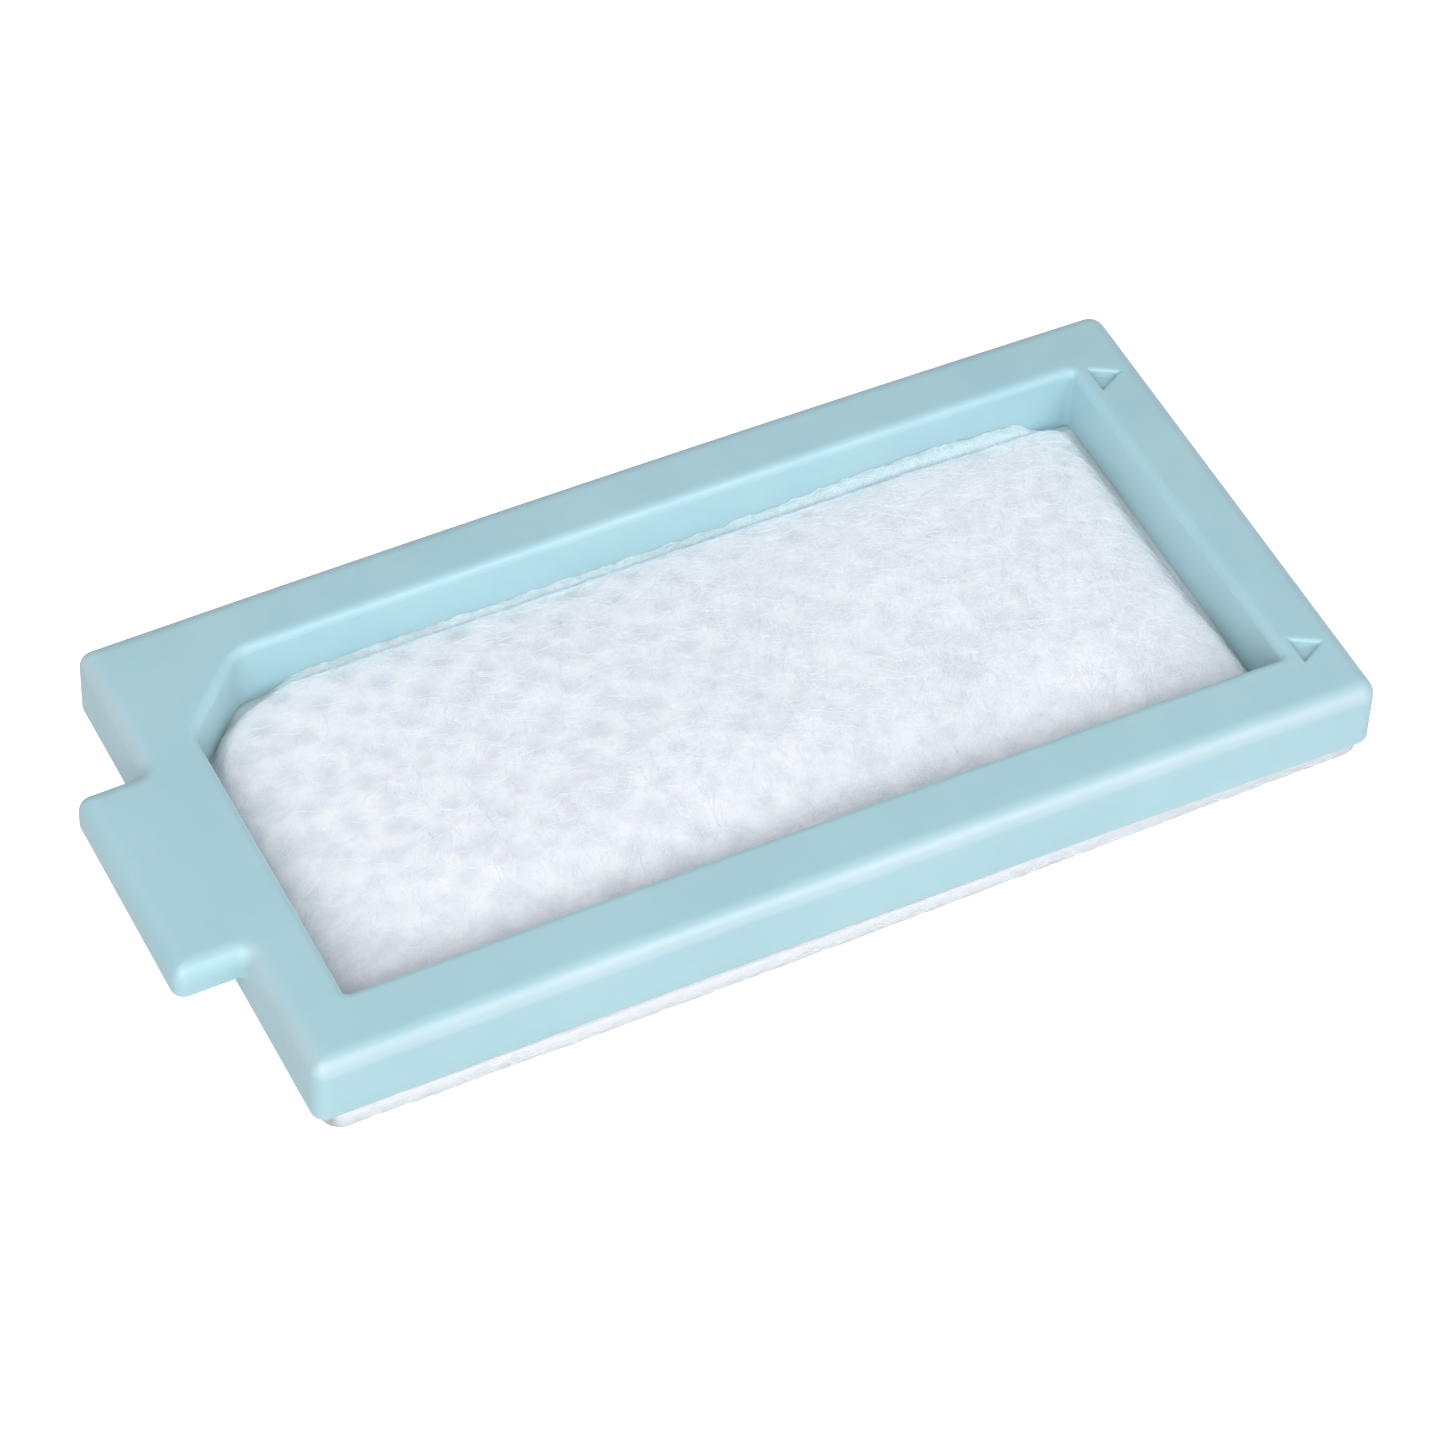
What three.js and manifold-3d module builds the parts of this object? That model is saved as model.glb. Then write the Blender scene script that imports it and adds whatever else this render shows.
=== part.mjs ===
// Slide-in air inlet filter: a soft moulded rectangular frame with a pull tab at one short end, and a
// fibre filter laminate bonded under it that puffs up through the frame's aperture.
// Millimetres, +Z up, +X along the length away from the pull tab. The origin is the middle of the
// bounding box's bottom face.
import * as THREE from "three";
import { mergeVertices } from "three/addons/utils/BufferGeometryUtils.js";
import Module from "manifold-3d";

const wasm = await Module();
wasm.setup();

// Driving dimensions
const FRAME_L = 55.8;
const FRAME_W = 28.5;
const FRAME_H = 3.8;
const FRAME_CORNER_R = 0.9;
const FRAME_TOP_R = 0.8;
const FRAME_FOOT_R = 0.15;
const PLY_T = 0.6;
const TAB_L = 3.5;
const TAB_W = 12.2;
const TAB_T = 1.85;
const TAB_OFFSET_Y = -0.25;
const TAB_ROOT = 6;
const APERTURE_X = [-24.76, 24.55];
const APERTURE_Y = [-10.5, 10.72];
const APERTURE_CHAMFER = 3.8;
const APERTURE_TOP_R = 0.5;
const APERTURE_CORNER_R = 0.3;
const ARROW_SIDE = 1.7;
const ARROW_DEPTH = 0.5;
const ARROW_BASE_X = 25.36;
const ARROW_Y = [-10.45, 9.77];
const DOME_H = 2.4;
const SHEET_L = 55;
const SHEET_W = 28.1;
const SHEET_X = 0.2;
const SHEET_CORNER_R = 1.1;
const FOLD_H = 1.15;
const FOLD_W = 0.9;
const FOLD_X = [-19, 22.5];

// Derived
const FRAME_X = TAB_L / 2;
const FOOT_Z = 2 * PLY_T;
const TOP_Z = FOOT_Z + FRAME_H;
const APERTURE_MID = [(APERTURE_X[0] + APERTURE_X[1]) / 2, (APERTURE_Y[0] + APERTURE_Y[1]) / 2];

// A closed body as a manifold-3d solid, from a three.js geometry.
function solidOf(geometry) {
  const bare = geometry.clone();
  bare.deleteAttribute("normal");
  bare.deleteAttribute("uv");
  const merged = mergeVertices(bare, 1e-4);
  return new wasm.Manifold(
    new wasm.Mesh({
      numProp: 3,
      vertProperties: new Float32Array(merged.attributes.position.array),
      triVerts: new Uint32Array(merged.index.array),
    }),
  );
}

// A three.js geometry from a manifold-3d solid.
function geometryOf(solid) {
  const mesh = solid.getMesh();
  const stride = mesh.numProp;
  const position = new Float32Array(mesh.numVert * 3);
  for (let i = 0; i < mesh.numVert; i++) {
    position.set(mesh.vertProperties.subarray(i * stride, i * stride + 3), i * 3);
  }
  const geometry = new THREE.BufferGeometry();
  geometry.setAttribute("position", new THREE.BufferAttribute(position, 3));
  geometry.setIndex(new THREE.BufferAttribute(new Uint32Array(mesh.triVerts), 1));
  geometry.computeVertexNormals();
  return geometry;
}

// Skins a stack of rings, listed from the bottom up. Each ring has the same number of points and runs
// anticlockwise seen from above. The first and last rings are closed by a fan round their middle.
function loft(rings) {
  const count = rings[0].length;
  const points = rings.flat();
  const faces = [];
  const middleOf = (ring) => {
    const sum = new THREE.Vector3();
    ring.forEach((p) => sum.add(p));
    return sum.divideScalar(ring.length);
  };
  const bottom = points.length;
  points.push(middleOf(rings[0]));
  const top = points.length;
  points.push(middleOf(rings[rings.length - 1]));
  for (let i = 0; i < count; i++) {
    const j = (i + 1) % count;
    for (let k = 0; k + 1 < rings.length; k++) {
      const a = k * count;
      const b = a + count;
      faces.push(a + i, a + j, b + j, a + i, b + j, b + i);
    }
    const last = (rings.length - 1) * count;
    faces.push(bottom, j, i, top, last + i, last + j);
  }
  const geometry = new THREE.BufferGeometry().setFromPoints(points);
  geometry.setIndex(faces);
  return solidOf(geometry);
}

// A ring of points at height z: the polygon's corners, each rounded to radius r, anticlockwise.
function roundedRing(corners, r, z, steps) {
  const ring = [];
  corners.forEach((corner, i) => {
    const before = corners[(i + corners.length - 1) % corners.length];
    const after = corners[(i + 1) % corners.length];
    const into = corner.clone().sub(before).normalize();
    const away = after.clone().sub(corner).normalize();
    const turn = Math.acos(THREE.MathUtils.clamp(into.dot(away), -1, 1));
    const reach = r * Math.tan(turn / 2);
    const start = corner.clone().addScaledVector(into, -reach);
    const centre = start.clone().add(new THREE.Vector2(-into.y, into.x).multiplyScalar(r));
    for (let k = 0; k <= steps; k++) {
      const arm = start.clone().sub(centre).rotateAround(new THREE.Vector2(), (turn * k) / steps);
      ring.push(new THREE.Vector3(centre.x + arm.x, centre.y + arm.y, z));
    }
  });
  return ring;
}

function rectangle(x0, x1, y0, y1) {
  return [[x0, y0], [x1, y0], [x1, y1], [x0, y1]].map((p) => new THREE.Vector2(p[0], p[1]));
}

// A block with rounded upright corners, a rounded top edge and a slightly rounded foot.
function mouldedBlock(x0, x1, y0, y1, z0, z1, cornerR, topR, footR) {
  const rings = [];
  const add = (inset, z) => {
    const r = Math.max(cornerR - inset, 0.05);
    rings.push(roundedRing(rectangle(x0 + inset, x1 - inset, y0 + inset, y1 - inset), r, z, 6));
  };
  for (let k = 0; k <= 2; k++) {
    const t = (Math.PI / 2) * (k / 2);
    add(footR * (1 - Math.sin(t)), z0 + footR * (1 - Math.cos(t)));
  }
  for (let k = 0; k <= 6; k++) {
    const t = (Math.PI / 2) * (k / 6);
    add(topR * (1 - Math.cos(t)), z1 - topR + topR * Math.sin(t));
  }
  return loft(rings);
}

// The aperture's outline grown by an amount: a rectangle with one cut corner, at -X +Y.
function apertureCorners(grow) {
  const x0 = APERTURE_X[0] - grow;
  const x1 = APERTURE_X[1] + grow;
  const y0 = APERTURE_Y[0] - grow;
  const y1 = APERTURE_Y[1] + grow;
  const cut = APERTURE_CHAMFER + grow * (2 - Math.SQRT2);
  return [[x0, y0], [x1, y0], [x1, y1], [x0 + cut, y1], [x0, y1 - cut]].map(
    (p) => new THREE.Vector2(p[0] + FRAME_X, p[1]),
  );
}

// The hole that the aperture cuts, flared at its top edge.
function apertureCutter() {
  const rings = [roundedRing(apertureCorners(0), APERTURE_CORNER_R, FOOT_Z - 0.5, 5)];
  for (let k = 0; k <= 5; k++) {
    const t = (Math.PI / 2) * (k / 5);
    const grow = APERTURE_TOP_R * (1 - Math.cos(t));
    const z = TOP_Z - APERTURE_TOP_R + APERTURE_TOP_R * Math.sin(t);
    rings.push(roundedRing(apertureCorners(grow), APERTURE_CORNER_R + grow, z, 5));
  }
  const flare = APERTURE_CORNER_R + APERTURE_TOP_R;
  rings.push(roundedRing(apertureCorners(APERTURE_TOP_R), flare, TOP_Z + 0.5, 5));
  return loft(rings);
}

// A small triangular pocket that points along +X and shows which way the filter slides in.
function arrowCutter(y) {
  const height = (ARROW_SIDE * Math.sqrt(3)) / 2;
  const x = FRAME_X + ARROW_BASE_X;
  const corners = [[x, y - ARROW_SIDE / 2], [x + height, y], [x, y + ARROW_SIDE / 2]].map(
    (p) => new THREE.Vector2(p[0], p[1]),
  );
  return loft([
    roundedRing(corners, 0.05, TOP_Z - ARROW_DEPTH, 2),
    roundedRing(corners, 0.05, TOP_Z + 0.5, 2),
  ]);
}

// The puffed shape: the aperture's outline scaled towards its middle while it rises by up to height.
function pillow(height, base, rise) {
  const outline = roundedRing(apertureCorners(-0.05), APERTURE_CORNER_R, 0, 5);
  const [cx, cy] = [APERTURE_MID[0] + FRAME_X, APERTURE_MID[1]];
  const at = (s, z) => outline.map((p) => new THREE.Vector3(cx + s * (p.x - cx), cy + s * (p.y - cy), z));
  const rings = [at(1, base)];
  if (rise > 0) rings.push(at(1, base + rise));
  [0.97, 0.93, 0.88, 0.8, 0.7, 0.55, 0.4, 0.25, 0.1].forEach((s) => {
    rings.push(at(s, base + rise + height * (1 - Math.pow(s, 3))));
  });
  return loft(rings);
}

// The ply's edge, turned up against the far wall of the aperture: a low rounded ridge, tapered at its ends.
function foldRidge() {
  const y = APERTURE_Y[1] - 0.1 - FOLD_W / 2;
  const rings = [];
  const stations = 24;
  for (let k = 0; k <= stations; k++) {
    const u = k / stations;
    const size = Math.pow(Math.sin(Math.PI * Math.min(Math.max(u, 0.02), 0.98)), 0.5);
    const x = FRAME_X + FOLD_X[0] + (FOLD_X[1] - FOLD_X[0]) * u;
    const ring = [];
    for (let i = 0; i < 14; i++) {
      const t = (2 * Math.PI * i) / 14;
      const half = (FOLD_W / 2) * size;
      const top = FOOT_Z + Math.max(Math.sin(t), -0.25) * FOLD_H * size;
      ring.push(new THREE.Vector3(x, y + half * Math.cos(t), top));
    }
    rings.push(ring);
  }
  return loft(rings);
}

const sheetEdges = [
  FRAME_X + SHEET_X - SHEET_L / 2,
  FRAME_X + SHEET_X + SHEET_L / 2,
  -SHEET_W / 2,
  SHEET_W / 2,
];

const body = mouldedBlock(
  FRAME_X - FRAME_L / 2,
  FRAME_X + FRAME_L / 2,
  -FRAME_W / 2,
  FRAME_W / 2,
  FOOT_Z,
  TOP_Z,
  FRAME_CORNER_R,
  FRAME_TOP_R,
  FRAME_FOOT_R,
);
const tab = mouldedBlock(
  FRAME_X - FRAME_L / 2 - TAB_L,
  FRAME_X - FRAME_L / 2 + TAB_ROOT - TAB_L,
  TAB_OFFSET_Y - TAB_W / 2,
  TAB_OFFSET_Y + TAB_W / 2,
  TOP_Z - TAB_T,
  TOP_Z,
  FRAME_CORNER_R,
  FRAME_TOP_R,
  FRAME_FOOT_R,
);
const frameSolid = body
  .add(tab)
  .subtract(apertureCutter())
  .subtract(arrowCutter(ARROW_Y[0]))
  .subtract(arrowCutter(ARROW_Y[1]));

const slab = (z0, z1) => {
  const corners = rectangle(...sheetEdges);
  return loft([
    roundedRing(corners, SHEET_CORNER_R, z0, 6),
    roundedRing(corners, SHEET_CORNER_R, z1, 6),
  ]);
};
const backingSolid = slab(0, PLY_T);
const battSolid = pillow(DOME_H, PLY_T, 0);
const coverSolid = slab(PLY_T, FOOT_Z)
  .add(pillow(DOME_H, PLY_T, PLY_T))
  .add(foldRidge())
  .subtract(battSolid);

function piece(name, solid, color, roughness) {
  const material = new THREE.MeshStandardMaterial({ name, color, roughness, metalness: 0 });
  const mesh = new THREE.Mesh(geometryOf(solid), material);
  mesh.name = name;
  return mesh;
}

const group = new THREE.Group();
group.add(piece("frame", frameSolid, 0x9fccd8, 0.55));
group.add(piece("cover_ply", coverSolid, 0xe8f1f6, 0.95));
group.add(piece("fibre_batt", battSolid, 0xf2f6f8, 0.95));
group.add(piece("backing_sheet", backingSolid, 0xf4f8fa, 0.9));

export default group;
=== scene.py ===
"""The looks of a slide-in air inlet filter: a soft moulded aqua frame with a pull tab over a puffed
white fibre laminate. Lengths in the helper functions are millimetres in the row frame; meshes are
written in metres."""

import math

import bpy
import numpy as np
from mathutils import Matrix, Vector


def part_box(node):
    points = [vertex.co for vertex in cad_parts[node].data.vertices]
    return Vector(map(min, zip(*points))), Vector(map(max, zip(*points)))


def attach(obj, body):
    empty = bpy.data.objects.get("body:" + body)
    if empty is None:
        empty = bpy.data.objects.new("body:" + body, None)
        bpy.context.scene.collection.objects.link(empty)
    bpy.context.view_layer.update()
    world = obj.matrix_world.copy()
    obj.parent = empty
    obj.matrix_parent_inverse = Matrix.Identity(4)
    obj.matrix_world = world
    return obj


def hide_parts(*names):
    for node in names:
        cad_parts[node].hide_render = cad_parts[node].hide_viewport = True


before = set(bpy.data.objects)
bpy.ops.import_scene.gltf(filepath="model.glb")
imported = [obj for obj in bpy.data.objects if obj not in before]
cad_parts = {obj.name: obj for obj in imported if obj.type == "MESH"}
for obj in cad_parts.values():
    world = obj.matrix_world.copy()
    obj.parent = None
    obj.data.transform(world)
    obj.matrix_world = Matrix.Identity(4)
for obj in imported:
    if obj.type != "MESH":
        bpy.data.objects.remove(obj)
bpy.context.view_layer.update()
MM = 0.001

# ---------------------------------------------------------------- sizes, from the CAD frame (mm)
FRAME_LOW, FRAME_HIGH = (np.array(c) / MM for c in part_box("frame"))
SHEET_LOW, SHEET_HIGH = (np.array(c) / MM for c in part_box("backing_sheet"))
COVER_LOW, _ = (np.array(c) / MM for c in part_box("cover_ply"))

FRAME_L = 55.8
CORNER_R_LEFT, CORNER_R_RIGHT = 0.70, 0.9
TOP_EDGE_R = 0.9
FOOT_EDGE_R = 0.15
TAB_W = 12.2
TAB_T = 1.85
TAB_OFFSET_Y = -0.25
TAB_ROOT_R = 0.5
APERTURE_CHAMFER = 3.8
APERTURE_TOP_R = 0.5
APERTURE_CORNER_R = 0.3
ARROW_SIDE = 1.52
ARROW_DEPTH = 0.38
ARROW_DRAFT = 0.25
ARROW_LIP_R = 0.16
ARROW_TIP_R = 0.06

BODY_X1 = FRAME_HIGH[0]
BODY_X0 = BODY_X1 - FRAME_L
BODY_Y0, BODY_Y1 = FRAME_LOW[1], FRAME_HIGH[1]
FOOT_Z, TOP_Z = FRAME_LOW[2], FRAME_HIGH[2]
MID_X = (BODY_X0 + BODY_X1) / 2
TAB_X0 = FRAME_LOW[0]
TAB_Y0, TAB_Y1 = TAB_OFFSET_Y - TAB_W / 2, TAB_OFFSET_Y + TAB_W / 2
AP_X0, AP_X1 = MID_X - 24.76, MID_X + 24.55
AP_Y0, AP_Y1 = -10.5, 10.72
ARROW_X = MID_X + 25.36
ARROW_Y = (-10.45, 9.77)
# How much higher the middle of the length is than the ends, and the shallow sink mark in the top.
ARCH_RISE = 0.28
SINK, SINK_DEPTH = (-21.8, 13.1), 0.05


def arch(x):
    """How far the soft part arches up off a flat surface, at x."""
    return ARCH_RISE * (1 - ((x - MID_X) / (FRAME_L / 2)) ** 2)


def arch_slope(x):
    """The arch's rise over run, at x."""
    return -2 * ARCH_RISE * (x - MID_X) / (FRAME_L / 2) ** 2


# ---------------------------------------------------------------- small mathematics
def smooth(t):
    """An S-shaped step from 0 to 1 as t goes from 0 to 1."""
    t = np.clip(t, 0, 1)
    return t * t * (3 - 2 * t)


def bell(t):
    """1 at 0, falling away to 0 on both sides."""
    return np.exp(-(t**2))


def value_noise(x, y, cell, seed):
    """Smooth seeded noise from -1 to 1, with features about cell long."""
    rng = np.random.default_rng(seed)
    table = rng.uniform(-1, 1, (257, 257))
    u, v = x / cell + 61.3, y / cell + 83.7
    i, j = np.floor(u).astype(int), np.floor(v).astype(int)
    s, t = smooth(u - i), smooth(v - j)
    i0, j0, i1, j1 = i % 257, j % 257, (i + 1) % 257, (j + 1) % 257
    low = table[i0, j0] * (1 - s) + table[i1, j0] * s
    high = table[i0, j1] * (1 - s) + table[i1, j1] * s
    return low * (1 - t) + high * t


def turned_noise(x, y, angle, along, across, seed):
    """Noise stretched into strokes that run at an angle."""
    c, s = math.cos(angle), math.sin(angle)
    return value_noise((x * c + y * s) / along, (y * c - x * s) / across, 1.0, seed)


def round_meet(a, b, r):
    """The intersection of two distance fields, its edge rounded to radius r."""
    inner = np.minimum(-r, np.maximum(a, b))
    return inner + np.hypot(np.maximum(a + r, 0), np.maximum(b + r, 0))


def round_join(a, b, r):
    """The union of two distance fields, its inner corner filled to radius r."""
    outer = np.maximum(r, np.minimum(a, b))
    return outer - np.hypot(np.maximum(r - a, 0), np.maximum(r - b, 0))


def rectangle_field(x, y, x0, x1, y0, y1, r):
    """Distance to a rectangle with rounded corners, negative inside."""
    qx = np.abs(x - (x0 + x1) / 2) - (x1 - x0) / 2 + r
    qy = np.abs(y - (y0 + y1) / 2) - (y1 - y0) / 2 + r
    return np.hypot(np.maximum(qx, 0), np.maximum(qy, 0)) + np.minimum(np.maximum(qx, qy), 0) - r


def aperture_field(x, y, r):
    """Distance to the aperture's outline, negative inside the hole; the cut corner is at -X +Y."""
    box = rectangle_field(x, y, AP_X0, AP_X1, AP_Y0, AP_Y1, r)
    cut = (APERTURE_CHAMFER - (x - AP_X0) + (y - AP_Y1)) / math.sqrt(2)
    return round_meet(box, cut, r)


def arrow_field(x, y, middle_y):
    """Distance to a triangle that points along +X."""
    back = ARROW_X - x
    side = np.abs(y - middle_y) * math.cos(math.pi / 6) + (x - ARROW_X) * 0.5
    return round_meet(back, side - ARROW_SIDE / 2 * math.cos(math.pi / 6), ARROW_TIP_R)


def frame_field(x, y, z):
    """Signed distance, near enough, to the moulded frame before it is arched."""
    corner = np.where(x < MID_X, CORNER_R_LEFT, CORNER_R_RIGHT)
    body = rectangle_field(x, y, BODY_X0, BODY_X1, BODY_Y0, BODY_Y1, corner)
    tab = rectangle_field(x, y, TAB_X0, BODY_X0 + 4, TAB_Y0, TAB_Y1, CORNER_R_LEFT)
    outline = round_join(body, tab, TAB_ROOT_R)
    above = z - TOP_Z
    upper = round_meet(outline, above, TOP_EDGE_R)
    upper = round_meet(upper, TOP_Z - TAB_T - z, FOOT_EDGE_R)
    lower = round_meet(body, above, TOP_EDGE_R)
    solid = round_meet(np.minimum(upper, lower), FOOT_Z - z, FOOT_EDGE_R)
    hole = aperture_field(x, y, APERTURE_CORNER_R)
    solid = np.maximum(solid, round_meet(-hole, above, APERTURE_TOP_R))
    for middle in ARROW_Y:
        pocket = arrow_field(x, y, middle) - ARROW_DRAFT * above - ARROW_DRAFT * 0.1
        pocket = np.maximum(pocket, -ARROW_DEPTH - above)
        solid = round_meet(solid, -pocket, ARROW_LIP_R)
    return solid


def spaced_lines(*spans):
    """Grid lines from (start, stop, step) spans."""
    found = [np.linspace(a, b, max(2, int(round((b - a) / step)) + 1)) for a, b, step in spans]
    return np.unique(np.round(np.concatenate(found), 5))


def surface_of(field, xs, ys, zs):
    """Surface nets: (points, quads) of a distance field's zero surface on a grid of uneven lines."""
    values = field(xs[:, None, None], ys[None, :, None], zs[None, None, :]).astype(np.float64)
    inside = values < 0
    corners = [(i, j, k) for i in (0, 1) for j in (0, 1) for k in (0, 1)]
    n = [len(xs) - 1, len(ys) - 1, len(zs) - 1]
    count = sum(inside[i : i + n[0], j : j + n[1], k : k + n[2]].astype(np.int8) for i, j, k in corners)
    cells = np.argwhere((count > 0) & (count < 8))
    number = np.full(count.shape, -1, np.int64)
    number[tuple(cells.T)] = np.arange(len(cells))
    lines = (xs, ys, zs)
    total, hits = np.zeros((len(cells), 3)), np.zeros(len(cells))
    for axis in range(3):
        others = [a for a in range(3) if a != axis]
        for u in (0, 1):
            for v in (0, 1):
                start = cells.copy()
                start[:, others[0]] += u
                start[:, others[1]] += v
                stop = start.copy()
                stop[:, axis] += 1
                a, b = values[tuple(start.T)], values[tuple(stop.T)]
                crossed = (a < 0) != (b < 0)
                share = np.where(crossed, a / np.where(crossed, a - b, 1), 0)
                place = np.stack([lines[k][start[:, k]] for k in range(3)], axis=1)
                step = lines[axis][stop[:, axis]] - lines[axis][start[:, axis]]
                place[:, axis] += share * step
                total += place * crossed[:, None]
                hits += crossed
    points = total / hits[:, None]
    quads = []
    for axis in range(3):
        b, c = (axis + 1) % 3, (axis + 2) % 3
        low = [slice(None)] * 3
        high = [slice(None)] * 3
        low[axis], high[axis] = slice(0, -1), slice(1, None)
        for k in (b, c):
            low[k] = high[k] = slice(1, -1)
        first, second = inside[tuple(low)], inside[tuple(high)]
        for rising in (True, False):
            edges = np.argwhere((first & ~second) if rising else (~first & second))
            edges[:, b] += 1
            edges[:, c] += 1
            loop = []
            for db, dc in ((-1, -1), (0, -1), (0, 0), (-1, 0)):
                cell = edges.copy()
                cell[:, b] += db
                cell[:, c] += dc
                loop.append(number[tuple(cell.T)])
            quad = np.stack(loop, axis=1)
            quads.append(quad if rising else quad[:, ::-1])
    return points, np.concatenate(quads)


def slopes(field, p, step=0.004):
    """The gradient of a field at points."""
    found = []
    for axis in range(3):
        d = np.zeros(3)
        d[axis] = step
        up, down = p + d, p - d
        found.append((field(*up.T) - field(*down.T)) / (2 * step))
    return np.stack(found, axis=1)


def settle(field, p, rounds=3):
    """Moves points onto the zero surface, and returns them with the surface's normals."""
    for _ in range(rounds):
        g = slopes(field, p)
        size = np.maximum((g * g).sum(axis=1), 0.2)
        p = p - (field(*p.T) / size)[:, None] * g
    g = slopes(field, p, 0.02)
    return p, g / np.maximum(np.linalg.norm(g, axis=1), 1e-9)[:, None]


# ---------------------------------------------------------------- meshes
def make_object(name, points_mm, faces, material, normals=None, attributes=None):
    """A smooth-shaded mesh object from arrays. faces is (n, 3) or (n, 4), or a list of such arrays."""
    blocks = faces if isinstance(faces, list) else [faces]
    mesh = bpy.data.meshes.new(name)
    loops = np.concatenate([b.ravel() for b in blocks]).astype(np.int32)
    sizes = np.concatenate([np.full(len(b), b.shape[1]) for b in blocks]).astype(np.int32)
    mesh.vertices.add(len(points_mm))
    mesh.vertices.foreach_set("co", (points_mm * MM).astype(np.float32).ravel())
    mesh.loops.add(len(loops))
    mesh.loops.foreach_set("vertex_index", loops)
    mesh.polygons.add(len(sizes))
    mesh.polygons.foreach_set("loop_start", np.concatenate([[0], np.cumsum(sizes)[:-1]]).astype(np.int32))
    mesh.polygons.foreach_set("loop_total", sizes)
    mesh.update(calc_edges=True)
    mesh.polygons.foreach_set("use_smooth", np.ones(len(sizes), bool))
    for key, values in (attributes or {}).items():
        layer = mesh.attributes.new(key, "FLOAT", "POINT")
        layer.data.foreach_set("value", values.astype(np.float32))
    if normals is not None:
        mesh.normals_split_custom_set_from_vertices(normals.tolist())
    mesh.validate()
    mesh.materials.append(material)
    made = bpy.data.objects.new(name, mesh)
    bpy.context.scene.collection.objects.link(made)
    return made


def grid_quads(rows, columns, first=0):
    """Quads of a grid of points numbered row by row."""
    i = np.arange(rows - 1)[:, None] * columns + np.arange(columns - 1)[None, :] + first
    return np.stack([i, i + columns, i + columns + 1, i + 1], axis=2).reshape(-1, 4)


def border_of(rows, columns):
    """The numbers of a grid's border points, in order round it."""
    n = np.arange(rows * columns).reshape(rows, columns)
    return np.concatenate([n[:-1, 0], n[-1, :-1], n[:0:-1, -1], n[0, :0:-1]])


# Where the rows of points on a sheet's cut edge are, from its top to its underside.
EDGE_ROWS = (0.04, 0.35, 0.65, 0.96)


def closed_sheet(top, bottom):
    """(points, faces) of a closed sheet: top and bottom are each three grids, of x, y and z, and the
    edge between them is bridged."""
    rows, columns = top[0].shape
    upper = np.stack(top, axis=2).reshape(-1, 3)
    lower = np.stack(bottom, axis=2).reshape(-1, 3)
    ring = border_of(rows, columns)
    points = [upper, lower]
    quads = [grid_quads(rows, columns), grid_quads(rows, columns, len(upper))[:, ::-1]]
    a, b = upper[ring], lower[ring]
    loops = [ring]
    start = 2 * len(upper)
    for t in EDGE_ROWS:
        points.append(a * (1 - t) + b * t)
        loops.append(start + np.arange(len(ring)))
        start += len(ring)
    loops.append(ring + len(upper))
    for first, second in zip(loops, loops[1:]):
        quads.append(np.stack([first, np.roll(first, -1), np.roll(second, -1), second], axis=1))
    return np.concatenate(points), np.concatenate(quads)


# ---------------------------------------------------------------- the laminate's shape (mm)
PLAN_R = 1.1
PAD_CORNER_R = 2.4
PLY_SPLIT_Z = COVER_LOW[2]
MID_AP = ((AP_X0 + AP_X1) / 2, (AP_Y0 + AP_Y1) / 2)
HALF_AP = ((AP_X1 - AP_X0) / 2, (AP_Y1 - AP_Y0) / 2)
# The bonded points: half the distance between two in a row and between two rows, one of them, and the
# radius and depth of the pit that each one makes.
STEP_X, STEP_Y = 1.59, 1.496
DOT_ORIGIN = (MID_X + 0.958, 1.917)
DOT_R = 0.36
DOT_DEPTH = 0.13
# The pad: its crown's height, how far in its shoulder rises, and the cover's turned-up edge.
CROWN_RISE = 1.9
SHOULDER_RUN = 1.2
FOLD_WIDTH = 0.37
CREASE_DEPTH = 0.24
# The gap under the frame's foot, and how thick the cover is there.
FOOT_GAP = 0.006
COVER_T = 0.594
# How far in from the cover's edge it closes down over the backing, and the height of its lip there.
SEAL_W, SEAL_Z = 0.15, 0.03
BACKING_INSET = 0.21
# One seed for both plies' ragged edges, so that they agree.
EDGE_SEED = 51


def near_inset(x):
    """How far the laminate's near edge lies inside the frame's near wall."""
    u = (x - MID_X) / (FRAME_L / 2)
    rightward = 0.46 * np.clip(u + 0.15, 0, 2) ** 1.4
    leftward = 0.35 * np.clip(-u - 0.5, 0, 1) ** 1.1
    return np.clip(0.02 + rightward + leftward, 0, 0.8)


def dots():
    """The bonded points of the laminate inside the aperture: x, y, strength of the pit."""
    rng = np.random.default_rng(11)
    found = []
    for i in range(-18, 19):
        for j in range(-9, 10):
            if (i + j) % 2:
                continue
            x = DOT_ORIGIN[0] + i * STEP_X + j * 0.026 + rng.normal(0, 0.10)
            y = DOT_ORIGIN[1] + i * 0.018 + j * STEP_Y + rng.normal(0, 0.10)
            strength = rng.uniform(0.65, 1.2)
            if aperture_field(x, y, PAD_CORNER_R) > -0.9:
                continue
            across = (x - AP_X0) / (AP_X1 - AP_X0)
            up = (y - AP_Y0) / (AP_Y1 - AP_Y0)
            strong = 0.35 + 0.65 * bell((across - 0.27) / 0.34)
            strong *= 0.45 + 0.75 * min(1.0, max(0.0, up * 1.35 - 0.08))
            found.append((x, y, strength * strong))
    return np.array(found)


DOTS = dots()


def dot_pattern(x, y, points=DOTS, radius=DOT_R):
    """How strongly each place belongs to a bonded point, from 0 to about 1."""
    total = np.zeros(np.shape(x))
    for px, py, strength in points:
        total += strength * np.exp(-((x - px) ** 2 + (y - py) ** 2) / (2 * radius**2))
    return total


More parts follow.
